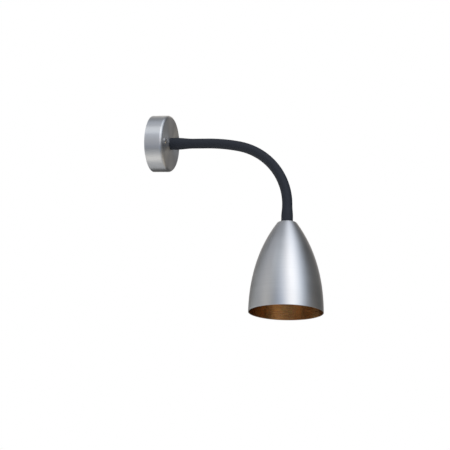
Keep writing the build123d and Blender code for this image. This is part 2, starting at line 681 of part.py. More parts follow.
def make_lampholder():
    body = disc(HOLDER_RADIUS, HOLDER_TOP, HOLDER_BOTTOM)
    flat = STRAP_HALF_SPAN - STRAP_THICKNESS - ASSEMBLY_CLEARANCE
    flats = block(4 * HOLDER_RADIUS, 4 * HOLDER_RADIUS, HOLDER_TOP, HOLDER_TOP + HOLDER_FLAT_HEIGHT)
    flats -= block(2 * flat, 5 * HOLDER_RADIUS, HOLDER_TOP - 1, HOLDER_TOP + HOLDER_FLAT_HEIGHT + 1)
    body -= flats
    body -= ring(HOLDER_CAVITY_RADIUS, HOLDER_POST_RADIUS, CAVITY_TOP, HOLDER_BOTTOM - HOLDER_LIP)
    for angle in (0, 180):
        body -= Pos(0, 0, HOLDER_BOTTOM - HOLDER_LIP) * extrude(keyhole(angle), HOLDER_LIP)
    screw_hole = disc(SCREW_M3_RADIUS + ASSEMBLY_CLEARANCE, -HOLDER_RADIUS, HOLDER_RADIUS)
    screw_hole -= disc(SCREW_M3_RADIUS * 2, HOLDER_SCREW_LENGTH - flat - 1, flat + 1 - HOLDER_SCREW_LENGTH)
    body -= Pos(0, 0, HOLDER_TOP + HOLDER_SCREW_DEPTH) * Rot(0, 90, 0) * screw_hole
    for side in (-1, 1):
        hole = disc(WIRE_RADIUS + ASSEMBLY_CLEARANCE, HOLDER_TOP, HOLDER_TOP + HOLDER_WIRE_DEPTH)
        body -= Pos(0, side * HOLDER_WIRE_OFFSET, 0) * hole
    return body


def make_contact():
    """A brass blade over a pin's tip, hung from the cavity's roof, as long as the pin's travel."""
    high = PIN_TIP - SLOT_CLEARANCE
    low = high - CONTACT_THICKNESS
    half = CONTACT_WIDTH / 2
    blade = ring(PIN_CIRCLE_RADIUS + half, PIN_CIRCLE_RADIUS - half, low, high)
    blade &= Pos(PIN_CIRCLE_RADIUS, CONTACT_LEAD, 0) * block(CONTACT_LENGTH, CONTACT_LENGTH, low, high)
    post = Pos(PIN_CIRCLE_RADIUS, 0, 0) * block(CONTACT_WIDTH / 2, CONTACT_WIDTH / 2, CAVITY_TOP, low)
    return blade + post


def make_holder_wire(side):
    """A wire from the nipple's bore to its hole in the lampholder's top."""
    start = side * (NIPPLE_BORE_RADIUS - WIRE_RADIUS - WIRE_CLEARANCE)
    end = side * HOLDER_WIRE_OFFSET
    points = [
        (0, start, SHADE_WALL), (0, start, SHADE_NIPPLE_LENGTH + HOLDER_WIRE_DROP),
        (0, end, HOLDER_TOP - HOLDER_WIRE_RISE), (0, end, HOLDER_TOP + HOLDER_WIRE_DEPTH - ASSEMBLY_CLEARANCE),
    ]
    return wire(points, HOLDER_WIRE_BEND_RADIUS)


def build_shade_side():
    ferrule = make_ferrule(SHADE_FERRULE_RADIUS, SHADE_FERRULE_STRAIGHT, SHADE_FERRULE_LENGTH, SHADE_NIPPLE_LENGTH)
    piece("shade_ferrule", SHADE_FRAME * Rot(180, 0, 0), ferrule)
    piece("shade", SHADE_FRAME, make_shade())
    washer_top = SHADE_WALL
    washer = ring(WASHER_RADIUS, NIPPLE_RADIUS + HOLE_CLEARANCE, washer_top, washer_top + WASHER_THICKNESS)
    piece("shade_washer", SHADE_FRAME, washer)
    piece("shade_nut", SHADE_FRAME, hex_nut(washer_top + WASHER_THICKNESS))
    piece("lampholder_strap", SHADE_FRAME, make_strap())
    piece("lampholder", SHADE_FRAME, make_lampholder())
    side_screw = pan_head_screw(SCREW_M3_RADIUS, SCREW_M3_HEAD_RADIUS, SCREW_M3_HEAD_HEIGHT, HOLDER_SCREW_LENGTH)
    seat = Pos(0, 0, HOLDER_TOP + HOLDER_SCREW_DEPTH)
    seats = [seat * Rot(0, angle, 0) * Pos(0, 0, STRAP_HALF_SPAN) for angle in (90, -90)]
    piece("strap_screws", SHADE_FRAME, *[place * side_screw for place in seats])
    piece("lampholder_contacts", SHADE_FRAME, *[Rot(0, 0, angle) * make_contact() for angle in (0, 180)])
    piece("lampholder_wires", SHADE_FRAME, *[make_holder_wire(side) for side in (-1, 1)])


# ---------------------------------------------------------------- lamp


def make_lamp_base():
    return turned([
        (0, LAMP_TOP), (LAMP_BASE_TOP_RADIUS, LAMP_TOP),
        (LAMP_BASE_BOTTOM_RADIUS, LAMP_TOP + LAMP_BASE_LENGTH), (0, LAMP_TOP + LAMP_BASE_LENGTH),
    ])


def make_lamp_housing():
    """The lamp's body: a bowl from the base to a straight rim, recessed for the lens."""
    top = LAMP_TOP + LAMP_BASE_LENGTH
    rim = LAMP_BOTTOM - LAMP_RIM_LENGTH
    with BuildPart() as bowl:
        with BuildSketch(Plane.XZ):
            with BuildLine():
                Polyline((0, LAMP_BOTTOM), (0, top), (LAMP_SHOULDER_RADIUS, top))
                TangentArc((LAMP_SHOULDER_RADIUS, top), (LAMP_RADIUS, rim), tangent=(0, -1), tangent_from_first=False)
                Polyline((LAMP_RADIUS, rim), (LAMP_RADIUS, LAMP_BOTTOM), (0, LAMP_BOTTOM))
            make_face()
        revolve(axis=Axis.Z)
    recess = LAMP_LENS_THICKNESS + LAMP_LENS_SINK
    return bowl.part - disc(LAMP_LENS_RADIUS + HOLE_CLEARANCE, LAMP_BOTTOM - recess, LAMP_BOTTOM + 1)


def make_lamp_pin():
    """A stepped pin: its wide head is held behind the lampholder's lip."""
    neck = disc(PIN_NECK_RADIUS, PIN_HEAD_BOTTOM, LAMP_TOP)
    return neck + disc(PIN_HEAD_RADIUS, PIN_TIP, PIN_HEAD_BOTTOM)


def build_lamp():
    piece("lamp_base", SHADE_FRAME, make_lamp_base())
    piece("lamp_housing", SHADE_FRAME, make_lamp_housing())
    lens_bottom = LAMP_BOTTOM - LAMP_LENS_SINK
    piece("lamp_lens", SHADE_FRAME, disc(LAMP_LENS_RADIUS, lens_bottom - LAMP_LENS_THICKNESS, lens_bottom))
    pins = [Rot(0, 0, angle) * Pos(PIN_CIRCLE_RADIUS, 0, 0) * make_lamp_pin() for angle in (0, 180)]
    piece("lamp_pins", SHADE_FRAME, *pins)


build_wall_side()
build_gooseneck()
build_shade_side()
build_lamp()

os.makedirs("parts", exist_ok=True)
for name, solids in PIECES.items():
    shape = solids[0] if len(solids) == 1 else Compound(solids)
    export_step(shape, f"parts/{name}.step")
print(f"{len(PIECES)} sub-parts, arm {ARM_LENGTH:.1f} mm along its centreline")
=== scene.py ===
# %% [markdown]
# # A gooseneck wall sconce, dressed for its picture
# The wall light is already built as solids, one for each real piece. This lesson loads them as a fixed
# frame and gives every surface that shows a fine mesh and a finish. Each new mesh is a formula in two
# parameters, worked out with numpy, because turned and swept pieces are exactly that.

# %% Load the solids
import json
import math
import bpy
import bmesh
import numpy as np
from mathutils import Matrix


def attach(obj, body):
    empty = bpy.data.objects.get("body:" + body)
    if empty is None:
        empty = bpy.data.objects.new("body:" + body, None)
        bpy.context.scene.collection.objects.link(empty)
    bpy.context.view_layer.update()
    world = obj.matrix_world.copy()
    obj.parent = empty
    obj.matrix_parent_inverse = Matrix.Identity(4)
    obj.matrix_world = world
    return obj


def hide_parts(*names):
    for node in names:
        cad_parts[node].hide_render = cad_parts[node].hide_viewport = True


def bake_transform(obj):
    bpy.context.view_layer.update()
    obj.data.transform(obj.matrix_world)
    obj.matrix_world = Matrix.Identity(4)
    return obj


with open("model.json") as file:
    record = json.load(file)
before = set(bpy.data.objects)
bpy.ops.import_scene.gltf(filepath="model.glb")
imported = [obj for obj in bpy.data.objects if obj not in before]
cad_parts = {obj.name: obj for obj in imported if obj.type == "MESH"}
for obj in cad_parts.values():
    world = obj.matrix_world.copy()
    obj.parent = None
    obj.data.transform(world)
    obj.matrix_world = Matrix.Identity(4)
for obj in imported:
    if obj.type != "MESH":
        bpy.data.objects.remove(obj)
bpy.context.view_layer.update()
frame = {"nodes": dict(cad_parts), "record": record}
nodes = frame["nodes"]

# %% [markdown]
# ## The sizes that the new surfaces share with the solids
# The wall is the plane y = 0, z is up and the arm leaves the wall towards -y. Lengths are metres here, so
# the millimetres of the drawing are multiplied by MM. The new surfaces repeat the drawing's own sizes, so
# they lie where the solids lie.

# %% Sizes
MM = 0.001

CANOPY_RADIUS = 35.0 * MM
CANOPY_DEPTH = 22.3 * MM
CANOPY_WALL = 1.6 * MM
CANOPY_EDGE_RADIUS = 3.6 * MM
NIPPLE_HOLE_RADIUS = 5.2 * MM

SCREW_CIRCLE_RADIUS = 22.9 * MM
SCREW_LINE_TILT = math.radians(11.7)
SCREW_RADIUS = 2.0 * MM
SCREW_HEAD_RADIUS = 4.0 * MM
SCREW_HEAD_HEIGHT = 2.6 * MM
SCREW_LENGTH = 10.0 * MM

WALL_RUN = 47.5 * MM
ARC_RADII = np.array([210.0, 82.5, 78.0]) * MM
ARC_TURNS = np.radians([11.2, 65.0, 10.0])
SHADE_RUN = 22.0 * MM
ARM_LENGTHS = np.concatenate([[WALL_RUN], ARC_RADII * ARC_TURNS, [SHADE_RUN]])
ARM_TURNS = np.concatenate([[0.0], ARC_TURNS, [0.0]])
ARM_LENGTH = ARM_LENGTHS.sum()
FIRST_PIVOT = 25.0 * MM
LAST_PIVOT = ARM_LENGTH - SHADE_RUN
PIVOT_COUNT = 12
PIVOTS = np.linspace(FIRST_PIVOT, LAST_PIVOT, PIVOT_COUNT)

SHADE_HEIGHT = 107.5 * MM
SHADE_MOUTH_RADIUS = 43.3 * MM
SHADE_NECK_RADIUS = 11.3 * MM
SHADE_TIGHTENING = 0.19
SHADE_WALL = 1.0 * MM
SHADE_TOP_EDGE_RADIUS = 2.5 * MM

LAMP_TOP = 32.3 * MM
LAMP_BASE_LENGTH = 11.5 * MM
LAMP_BOTTOM = 79.3 * MM
LAMP_RADIUS = 25.0 * MM
print(f"arm {ARM_LENGTH / MM:.1f} mm along its centreline, shade {SHADE_HEIGHT / MM:.1f} mm high")

# %% [markdown]
# ## The centreline of the gooseneck
# The arm is a straight run, three arcs that turn it down and a last straight run. Inside an arc the heading
# grows evenly with the distance, so the step from the arc's start is a chord at half the turn. Adding the
# stretches one after the other gives the place and the heading for a whole array of distances at once. A
# curve drawn by eye would only come close to the solids.


# %% Centreline
def centreline(distance):
    """Place (y, z) and heading at each distance: the sum over the stretches of chord times its direction."""
    distance = np.asarray(distance, float)
    y = np.full(distance.shape, -CANOPY_DEPTH)
    z = np.zeros(distance.shape)
    turn = np.zeros(distance.shape)
    start = 0.0
    for length, bend in zip(ARM_LENGTHS, ARM_TURNS):
        step = np.clip(distance - start, 0, length)
        part = bend * step / length
        chord = step * np.sinc(part / (2 * np.pi))
        y -= chord * np.cos(turn + part / 2)
        z -= chord * np.sin(turn + part / 2)
        turn += part
        start += length
    return y, z, turn


def arm_point(distance):
    """The centreline's point at one distance, as three plain numbers."""
    y, z, _ = centreline(np.array([distance]))
    return (0.0, float(y[0]), float(z[0]))


def around_arm(distance, radius, angle):
    """Points round the arm: the centreline plus radius times (cosine across, sine along the upper side)."""
    y, z, turn = centreline(distance)
    out = radius * np.sin(angle)
    return np.stack([radius * np.cos(angle), y - out * np.sin(turn), z + out * np.cos(turn)], axis=-1)


def around_canopy(depth, radius, angle):
    """Points round the canopy's axis, at a depth from the wall."""
    return np.stack([radius * np.cos(angle), -depth + 0 * angle, radius * np.sin(angle)], axis=-1)


SHADE_Y, SHADE_Z, SHADE_TURN = (float(v[0]) for v in centreline(np.array([ARM_LENGTH])))
SHADE_AXIS = np.array([0.0, -math.cos(SHADE_TURN), -math.sin(SHADE_TURN)])
SHADE_SIDE = np.array([0.0, -math.sin(SHADE_TURN), math.cos(SHADE_TURN)])


def around_shade(depth, radius, angle):
    """Points round the shade's axis, at a depth below its top."""
    top = np.array([0.0, SHADE_Y, SHADE_Z])
    across = (radius * np.cos(angle))[..., None] * np.array([1.0, 0.0, 0.0])
    along = (radius * np.sin(angle))[..., None] * SHADE_SIDE
    return top + across + along + (depth + 0 * angle)[..., None] * SHADE_AXIS


print(f"the shade hangs {90 - math.degrees(SHADE_TURN):.1f} degrees off plumb")

# %% [markdown]
# ## From a formula to a mesh
# A turned piece is a closed outline, carried round an axis. The rows of the grid follow the outline and the
# columns go round, so each face joins four neighbours on the grid, and the last row and column join the
# first. Blender's spin tool could turn the outline too, but a grid of numbers also takes flutes, bumps and a
# bent path. The UV map keeps the distance along the outline in u, in units of UV_LENGTH, and the share of a
# turn in v, so a finish can follow the lathe's tool marks.


# %% Mesh helpers
UV_LENGTH = 0.1
SAME_POINT = 1e-7
CORNER_SHARE = 0.002


def grid_mesh(name, points, run):
    """A mesh on a grid of points (row, column, xyz), closed both ways; u is the run, v the turn."""
    rows, columns = points.shape[:2]
    i, j = np.meshgrid(np.arange(rows), np.arange(columns), indexing="ij")
    i2, j2 = (i + 1) % rows, (j + 1) % columns
    faces = np.stack([i * columns + j, i * columns + j2, i2 * columns + j2, i2 * columns + j], axis=-1)
    mesh = bpy.data.meshes.new(name)
    mesh.from_pydata(points.reshape(-1, 3), [], faces.reshape(-1, 4))
    step = np.append(run, run[-1] + np.linalg.norm(points[0, 0] - points[-1, 0])) / UV_LENGTH
    u = np.stack([step[i], step[i], step[i + 1], step[i + 1]], axis=-1)
    v = np.stack([j, j + 1, j + 1, j], axis=-1) / columns
    uv = mesh.uv_layers.new(name="along_and_round")
    uv.data.foreach_set("uv", np.stack([u, v], axis=-1).astype(np.float32).ravel())
    return close_mesh(mesh)


def close_mesh(mesh):
    """Merges points that lie on each other, such as a pole's, and turns every face outwards."""
    work = bmesh.new()
    work.from_mesh(mesh)
    bmesh.ops.remove_doubles(work, verts=work.verts, dist=SAME_POINT)
    bmesh.ops.recalc_face_normals(work, faces=work.faces)
    work.to_mesh(mesh)
    work.free()
    mesh.polygons.foreach_set("use_smooth", np.ones(len(mesh.polygons), bool))
    return mesh


def new_piece(name, mesh, finish, body=None, replaced=()):
    """Puts a mesh in the scene as a piece with its finish, on its body and in place of its solids."""
    piece = bpy.data.objects.new(name, mesh)
    bpy.context.scene.collection.objects.link(piece)
    mesh.materials.append(finish)
    if body:
        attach(piece, body)
    if replaced:
        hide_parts(*replaced)
    print(f"{name}: {sum(len(p.vertices) - 2 for p in mesh.polygons)} triangles")
    return piece


def turned_mesh(name, outline, place, columns, ripple=None):
    """Carries an outline of (radius, depth) rows round an axis: columns of place(depth, radius, angle)."""
    outline = np.asarray(outline, float)
    angle = np.linspace(0, 2 * np.pi, columns, endpoint=False)[None, :]
    radius = np.repeat(outline[:, :1], columns, axis=1)
    depth = np.repeat(outline[:, 1:], columns, axis=1)
    if ripple is not None:
        radius, depth = ripple(radius, depth, angle)
    run = np.append(0, np.cumsum(np.hypot(*np.diff(outline, axis=0).T)))
    return grid_mesh(name, place(depth, radius, angle + 0 * radius), run)


def line(start, end, steps):
    """Points from start to end by share, with a tight pair at each end so that the corner shades crisply."""
    inner = np.linspace(0, 1, steps + 1)[1:-1]
    share = np.concatenate([[0, CORNER_SHARE], inner, [1 - CORNER_SHARE, 1]])[:, None]
    return np.array(start) * (1 - share) + np.array(end) * share


def arc(centre, radius, start, end, steps):
    """Points of an arc in the (radius, depth) plane, between two angles in degrees."""
    angle = np.radians(np.linspace(start, end, steps + 1))
    return np.array(centre) + radius * np.stack([np.cos(angle), np.sin(angle)], axis=-1)


def swell(angle):
    """A wave that goes from 0 to 1 and back in a full turn: half of one less the cosine."""
    return 0.5 - 0.5 * np.cos(angle)


def ease(value, start, end):
    """0 before start, 1 after end and a smooth S between: share squared times (3 less twice the share)."""
    share = np.clip((value - start) / (end - start), 0, 1)
    return share * share * (3 - 2 * share)


# %% [markdown]
# ## Finishes
# Every finish is a small node tree. It reads Object coordinates, which are metres on a piece whose place is
# in its mesh, or the piece's own UV map where the pattern follows the surface. Numbers that are the same all
# over are typed on the shader's own sockets.


# %% Finish helpers
def shader_of(name, **sockets):
    """A new material and its shader, with plain values typed on the shader's sockets."""
    finish = bpy.data.materials.new(name)
    finish.use_nodes = True
    shader = finish.node_tree.nodes["Principled BSDF"]
    for socket, value in sockets.items():
        shader.inputs[socket.replace("_", " ")].default_value = value
    return finish, shader


def add(owner, kind, inputs=None, **settings):
    """One node of a finish or world: an input that is another node's output is linked, a value is typed."""
    tree = owner.node_tree
    node = tree.nodes.new(kind)
    for key, value in settings.items():
        setattr(node, key, value)
    for key, value in (inputs or {}).items():
        if isinstance(value, bpy.types.NodeSocket):
            tree.links.new(value, node.inputs[key])
        else:
            node.inputs[key].default_value = value
    return node


def join(finish, output, socket):
    """Links a node's output to a socket of the same finish."""
    finish.node_tree.links.new(output, socket)


def rgba(colour):
    """The colour with full opacity."""
    return (*colour, 1.0)


def srgb(red, green, blue):
    """A colour as a screen names it, 0 to 255, as the shader's linear amounts, by the curve of sRGB."""
    share = np.array([red, green, blue]) / 255
    linear = np.where(share <= 0.04045, share / 12.92, ((share + 0.055) / 1.055) ** 2.4)
    return tuple(float(c) for c in linear)


def object_noise(finish, scale, detail=3.0):
    """Noise through the piece's own space, with about as many grains to a metre as the scale says."""
    place = add(finish, "ShaderNodeTexCoord").outputs["Object"]
    inputs = {"Vector": place, "Scale": scale, "Detail": detail}
    return add(finish, "ShaderNodeTexNoise", inputs).outputs["Fac"]


# A Mix node has sockets for numbers, vectors and colours, so the colour ones are picked by their place.
MIX_A, MIX_B, MIX_RESULT = 6, 7, 2


def blend_colours(finish, share, dark, light):
    """The colour that lies between dark and light by the share."""
    inputs = {"Factor": share, MIX_A: rgba(dark), MIX_B: rgba(light)}
    return add(finish, "ShaderNodeMix", inputs, data_type="RGBA").outputs[MIX_RESULT]


def between(finish, value, low, high, least=0.3, most=0.7):
    """Maps the middle of a noise, from least to most, onto the range from low to high."""
    inputs = {"Value": value, "From Min": least, "From Max": most, "To Min": low, "To Max": high}
    return add(finish, "ShaderNodeMapRange", inputs).outputs["Result"]


def bumped(finish, shader, height, distance, strength=1.0):
    """Raises the surface by the height value times the distance, as seen by the light."""
    inputs = {"Height": height, "Distance": distance, "Strength": strength}
    join(finish, add(finish, "ShaderNodeBump", inputs).outputs["Normal"], shader.inputs["Normal"])


# %% [markdown]
# Most small parts need no more than a mottled colour, an uneven gloss and a fine grain, so one function
# makes them all: zinc on the bracket, steel on coil and screws, brass, plastics, rubber, ceramic and wires.
# The two colours are what the eye finds in the lighter and darker patches of the real stuff.


# %% Plain finishes
PATCHES_PER_GRAIN = 0.25


def plain_finish(name, dark, light, gloss, grain_size, grain_depth, **sockets):
    """Colour and roughness from one noise, and a grain of the given size and depth in metres."""
    finish, shader = shader_of(name, **sockets)
    patches = object_noise(finish, PATCHES_PER_GRAIN / grain_size)
    grain = object_noise(finish, 1 / grain_size, detail=2.0)
    join(finish, blend_colours(finish, patches, dark, light), shader.inputs["Base Color"])
    join(finish, between(finish, patches, *gloss), shader.inputs["Roughness"])
    bumped(finish, shader, grain, grain_depth)
    return finish


FINISHES = {
    "zinc_steel": plain_finish(
        "zinc_plate", srgb(178, 179, 180), srgb(200, 199, 193), (0.28, 0.46),
        0.5 * MM, 0.01 * MM, Metallic=1.0),
    "screw_steel": plain_finish(
        "stainless_steel", srgb(150, 150, 152), srgb(192, 192, 192), (0.12, 0.22),
        0.6 * MM, 0.004 * MM, Metallic=1.0),
    "brass": plain_finish(
        "turned_brass", srgb(176, 138, 70), srgb(214, 180, 108), (0.2, 0.36),
        0.5 * MM, 0.006 * MM, Metallic=1.0),
    "coil_steel": plain_finish(
        "spring_steel", srgb(98, 98, 102), srgb(142, 142, 144), (0.3, 0.5),
        0.4 * MM, 0.02 * MM, Metallic=1.0),
    "grommet_rubber": plain_finish(
        "black_rubber", srgb(26, 26, 27), srgb(42, 42, 43), (0.6, 0.8), 0.3 * MM, 0.02 * MM),
    "block_plastic": plain_finish(
        "ivory_plastic", srgb(214, 210, 196), srgb(232, 229, 218), (0.38, 0.52), 0.4 * MM, 0.01 * MM),
    "bush_plastic": plain_finish(
        "white_nylon", srgb(222, 221, 214), srgb(238, 237, 232), (0.3, 0.42), 0.4 * MM, 0.006 * MM),
    "wire_brown": plain_finish(
        "brown_insulation", srgb(92, 56, 34), srgb(116, 72, 46), (0.3, 0.42), 0.5 * MM, 0.006 * MM),
    "wire_blue": plain_finish(
        "blue_insulation", srgb(28, 84, 158), srgb(42, 104, 184), (0.3, 0.42), 0.5 * MM, 0.006 * MM),
    "wire_heatproof": plain_finish(
        "braided_glass_sleeving", srgb(206, 200, 182), srgb(232, 228, 214), (0.55, 0.75),
        0.25 * MM, 0.05 * MM),
    "holder_ceramic": plain_finish(
        "unglazed_ceramic", srgb(222, 216, 202), srgb(240, 236, 226), (0.5, 0.68), 0.35 * MM, 0.02 * MM),
    "lamp_white": plain_finish(
        "lamp_white", srgb(224, 224, 221), srgb(238, 238, 236), (0.32, 0.44), 0.5 * MM, 0.006 * MM),
}
print(f"{len(FINISHES)} plain finishes")

# %% [markdown]
# The earth wire wears two colours in stripes, and the lamp's lens is a milky plastic that lets a little
# light into itself. Wave bands through space make the stripes, so the wire needs no UV map. Subsurface
# scattering makes the milk, where plain transmission would show the empty body behind the lens.

# %% Striped wire and milky lens
STRIPE_GLOSS = 0.36
STRIPE_SCALE = 160.0
STRIPE_WAVER = 0.6
STRIPE_EDGE = (0.47, 0.53)
MILK_SCALE = 260.0
MILK_REACH = 2.0 * MM
MILK_GLOSS = (0.24, 0.36)

earth_stripes, stripe_shader = shader_of("green_and_yellow_insulation", Roughness=STRIPE_GLOSS)
place = add(earth_stripes, "ShaderNodeTexCoord").outputs["Object"]
stripe_inputs = {"Vector": place, "Scale": STRIPE_SCALE, "Distortion": STRIPE_WAVER}
waves = add(earth_stripes, "ShaderNodeTexWave", stripe_inputs)
hard = between(earth_stripes, waves.outputs["Fac"], 0.0, 1.0, *STRIPE_EDGE)
join(earth_stripes, blend_colours(earth_stripes, hard, srgb(44, 122, 52), srgb(226, 206, 50)),
     stripe_shader.inputs["Base Color"])
FINISHES["wire_earth"] = earth_stripes

lens_finish, lens_shader = shader_of(
    "milky_lens", Subsurface_Weight=0.25, Subsurface_Scale=MILK_REACH, IOR=1.49)
milk = object_noise(lens_finish, MILK_SCALE)
join(lens_finish, blend_colours(lens_finish, milk, srgb(234, 234, 230), srgb(243, 243, 240)),
     lens_shader.inputs["Base Color"])
join(lens_finish, between(lens_finish, milk, *MILK_GLOSS), lens_shader.inputs["Roughness"])
FINISHES["lamp_lens"] = lens_finish
print("stripes and milky lens made")

# %% [markdown]
# ## Spun and brushed aluminium
# The canopy and the shade are brushed on a lathe, so the scratches run round the axis. Two things make that
# look. The fine grooves are a noise that changes fast along the outline and slowly round it, inside wide
# soft clouds: colour and gloss follow the cloud times the sum of groove and CLOUD_SHARE. The highlight is
# stretched across the grooves: anisotropy does that, with its tangent along u, the outline's direction.


# %% Brushed finish
GROOVES_PER_METRE = 1300.0
DRIFT_ROUND = 14.0
CLOUD_SCALE = 22.0
CLOUD_SHARE = 0.3


def brushed_finish(name, dark, light, gloss, stretch, groove_depth):
    """Brushed metal: the grooves follow v, and the highlight is stretched along u by the given share."""
    finish, shader = shader_of(name, Metallic=1.0, Anisotropic=stretch)
    uv = add(finish, "ShaderNodeUVMap", uv_map="along_and_round").outputs["UV"]
    along = add(finish, "ShaderNodeSeparateXYZ", {"Vector": uv}).outputs["X"]
    fast = add(finish, "ShaderNodeMath", {0: along, 1: UV_LENGTH * GROOVES_PER_METRE}, operation="MULTIPLY")
    place = add(finish, "ShaderNodeTexCoord").outputs["Object"]
    slow = add(finish, "ShaderNodeVectorMath", {0: place, "Scale": DRIFT_ROUND}, operation="SCALE")
    shift = add(finish, "ShaderNodeCombineXYZ", {"X": fast.outputs["Value"]})
    both_ways = {0: slow.outputs["Vector"], 1: shift.outputs["Vector"]}
    where = add(finish, "ShaderNodeVectorMath", both_ways, operation="ADD").outputs["Vector"]
    groove = add(finish, "ShaderNodeTexNoise", {"Vector": where, "Scale": 1.0, "Detail": 4.0}).outputs["Fac"]
    cloud = object_noise(finish, CLOUD_SCALE, detail=2.0)
    weak_cloud = add(finish, "ShaderNodeMath", {0: cloud, 1: CLOUD_SHARE}, operation="MULTIPLY")
    product = {0: groove, 1: cloud, 2: weak_cloud.outputs["Value"]}
    mixture = add(finish, "ShaderNodeMath", product, operation="MULTIPLY_ADD").outputs["Value"]
    join(finish, blend_colours(finish, mixture, dark, light), shader.inputs["Base Color"])
    join(finish, between(finish, mixture, *gloss), shader.inputs["Roughness"])
    bumped(finish, shader, groove, groove_depth)
    tangent = add(finish, "ShaderNodeTangent", direction_type="UV_MAP", uv_map="along_and_round")
    join(finish, tangent.outputs["Tangent"], shader.inputs["Tangent"])
    return finish


spun_aluminium = brushed_finish(
    "spun_aluminium", srgb(182, 184, 187), srgb(211, 213, 216), (0.34, 0.48), 0.6, 0.012 * MM)
canopy_aluminium = brushed_finish(
    "turned_aluminium", srgb(186, 188, 191), srgb(210, 212, 215), (0.33, 0.45), 0.9, 0.012 * MM)
gold_lacquer = brushed_finish(
    "matt_gold_lacquer", srgb(180, 138, 88), srgb(198, 157, 106), (0.24, 0.32), 0.8, 0.001 * MM)
FINISHES["spun_aluminium"] = spun_aluminium
print("brushed finishes made")

# %% [markdown]
# ## The sleeve
# The gooseneck wears a close blue-black sleeve of fine knitted yarn, matt and slightly ribbed. Modelled
# loops would need far too many faces, so the knit is a bump: two crossed waves on the UV map, with a loop
# about every half millimetre and a whole number of loops round the arm, so it goes round without a seam.

# %% Sleeve finish
RIB_PITCH = 0.55 * MM
LOOPS_ROUND = 72
KNIT_DEPTH = 0.03 * MM
KNIT_STRENGTH = 0.6
FUZZ_SCALE = 900.0
YARN_GLOSS = (0.56, 0.7)
YARN_SHINE = 0.2

sleeve_cloth, sleeve_shader = shader_of("blue_black_sleeve", Specular_IOR_Level=YARN_SHINE)
uv = add(sleeve_cloth, "ShaderNodeUVMap", uv_map="along_and_round").outputs["UV"]
parts = add(sleeve_cloth, "ShaderNodeSeparateXYZ", {"Vector": uv})
rib_turns = 2 * math.pi * UV_LENGTH / RIB_PITCH
loop_turns = 2 * math.pi * LOOPS_ROUND
ribs = add(sleeve_cloth, "ShaderNodeMath", {0: parts.outputs["X"], 1: rib_turns}, operation="MULTIPLY")
loops = add(sleeve_cloth, "ShaderNodeMath", {0: parts.outputs["Y"], 1: loop_turns}, operation="MULTIPLY")
rib_wave = add(sleeve_cloth, "ShaderNodeMath", {0: ribs.outputs["Value"]}, operation="SINE")
loop_wave = add(sleeve_cloth, "ShaderNodeMath", {0: loops.outputs["Value"]}, operation="SINE")
crossed = {0: rib_wave.outputs["Value"], 1: loop_wave.outputs["Value"]}
knit = add(sleeve_cloth, "ShaderNodeMath", crossed, operation="MULTIPLY").outputs["Value"]
fuzz = object_noise(sleeve_cloth, FUZZ_SCALE)
join(sleeve_cloth, blend_colours(sleeve_cloth, fuzz, srgb(32, 36, 44), srgb(45, 49, 57)),
     sleeve_shader.inputs["Base Color"])
join(sleeve_cloth, between(sleeve_cloth, fuzz, *YARN_GLOSS), sleeve_shader.inputs["Roughness"])
bumped(sleeve_cloth, sleeve_shader, knit, KNIT_DEPTH, KNIT_STRENGTH)
FINISHES["sleeve_fabric"] = sleeve_cloth
print(f"{LOOPS_ROUND} loops round the sleeve")

# %% [markdown]
# ## Dress the solids that stay
# Every solid takes the finish of its material slot. The solids that the next cells replace get it too, so
# nothing is left bare if one of them is shown again.

# %% Finishes onto the solids
slot_of = {row["node"]: row["material_slot"] for row in frame["record"]["subparts"]}
for name, solid in nodes.items():
    finish = FINISHES[slot_of[name]]
    solid.data.materials.clear()
    solid.data.materials.append(finish)
print(f"{len(slot_of)} solids dressed")

# %% [markdown]
# ## The canopy
# The canopy is a cup turned from sheet, with a soft front edge and an open back. A cylinder with a bevel
# could give it, but a turned outline puts each edge where the drawing has it, and its rows lie along the
# lathe's marks. The outline goes up the outside, round the edge, over the face to the hole for the nipple
# and back along the inside.

# %% Canopy
edge_centre = (CANOPY_RADIUS - CANOPY_EDGE_RADIUS, CANOPY_DEPTH - CANOPY_EDGE_RADIUS)
inside_radius = CANOPY_RADIUS - CANOPY_WALL
inside_depth = CANOPY_DEPTH - CANOPY_WALL
canopy_outline = np.concatenate([
    line((CANOPY_RADIUS, 0), (CANOPY_RADIUS, edge_centre[1]), 6),
    arc(edge_centre, CANOPY_EDGE_RADIUS, 0, 90, 14)[1:],
    line((edge_centre[0], CANOPY_DEPTH), (NIPPLE_HOLE_RADIUS, CANOPY_DEPTH), 12)[1:],
    line((NIPPLE_HOLE_RADIUS, inside_depth), (edge_centre[0], inside_depth), 6),
    arc(edge_centre, CANOPY_EDGE_RADIUS - CANOPY_WALL, 90, 0, 8)[1:],
    line((inside_radius, edge_centre[1]), (inside_radius, 0), 6)[1:],
])
canopy_mesh = turned_mesh("canopy_cup", canopy_outline, around_canopy, columns=224)
new_piece("canopy_cup", canopy_mesh, canopy_aluminium, "wall_mount", ["canopy"])

# %% [markdown]
# ## The canopy's screws
# A pan head is a low dome with a cross pressed into it. The dome is a height over a disc: it falls with a
# power of the distance from the middle, a little over the third. The cross is taken out where the point lies
# within half a blade's width of either centre line. A cut with another solid would leave long thin faces
# there, and this leaves an even grid. Round walls for head and shank close the shape below.

# %% Canopy screws
BLADE_WIDTH = 0.95 * MM
BLADE_REACH = 2.3 * MM
RECESS_DEPTH = 1.3 * MM
RECESS_SLOPE = 0.22 * MM
RECESS_END_SLOPE = 0.3 * MM
CROSS_TURN = 0.5
HEAD_DOME_SHARE = 0.55
HEAD_DOME_POWER = 3.2
DOME_ROWS = 27


